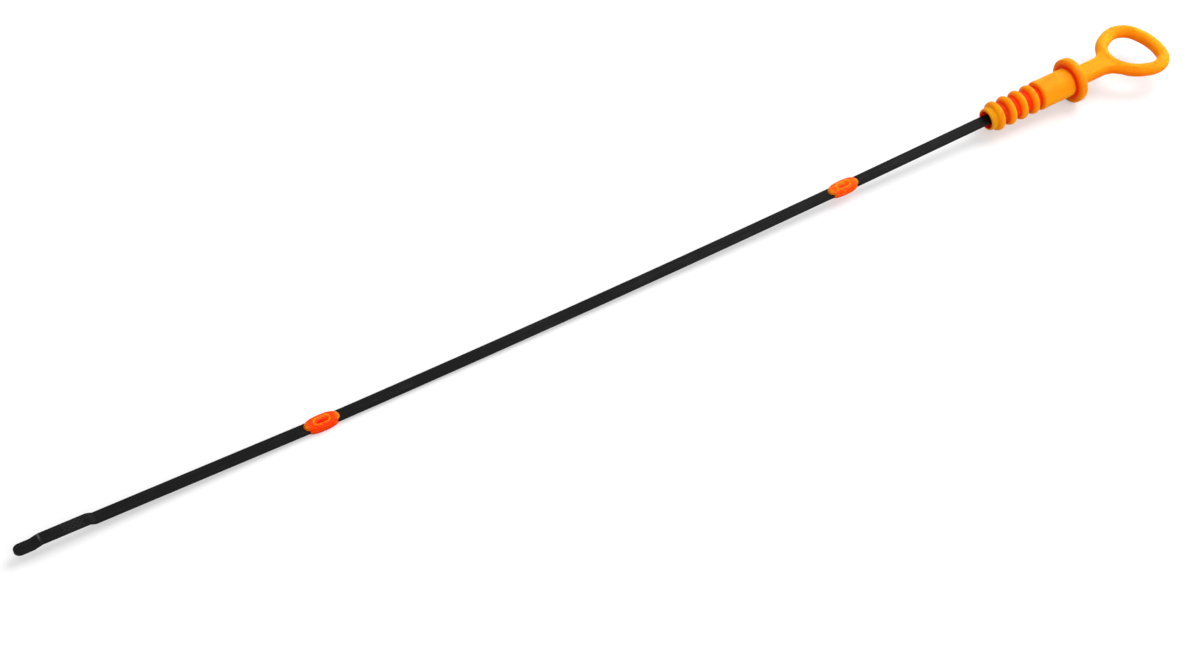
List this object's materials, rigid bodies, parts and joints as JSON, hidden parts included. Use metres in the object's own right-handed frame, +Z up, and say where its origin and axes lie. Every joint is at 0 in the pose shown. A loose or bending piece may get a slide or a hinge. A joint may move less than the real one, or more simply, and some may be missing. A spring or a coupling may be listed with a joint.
{
  "type": "engine oil dipstick",
  "caption": "Engine oil dipstick with a flat dark steel blade, orange moulded guides and an orange plug with a pull loop.",
  "frame": {"origin": "on the surface that the stick lies on, under the middle of its length and width", "axes": "+X runs along the stick from the measuring tip to the pull loop, +Z points up from the surface, +Y lies across the flat of the loop"},
  "size_m": [0.4956, 0.0326, 0.0188],
  "materials": {
    "handle_plastic": "satin orange",
    "guide_plastic": "satin red orange",
    "blade_steel": "satin charcoal"
  },
  "bodies": {
    "root": {"handle": "handle_plastic", "blade": "blade_steel", "upper_guide": "guide_plastic", "lower_guide": "guide_plastic"}
  },
  "joints": []
}
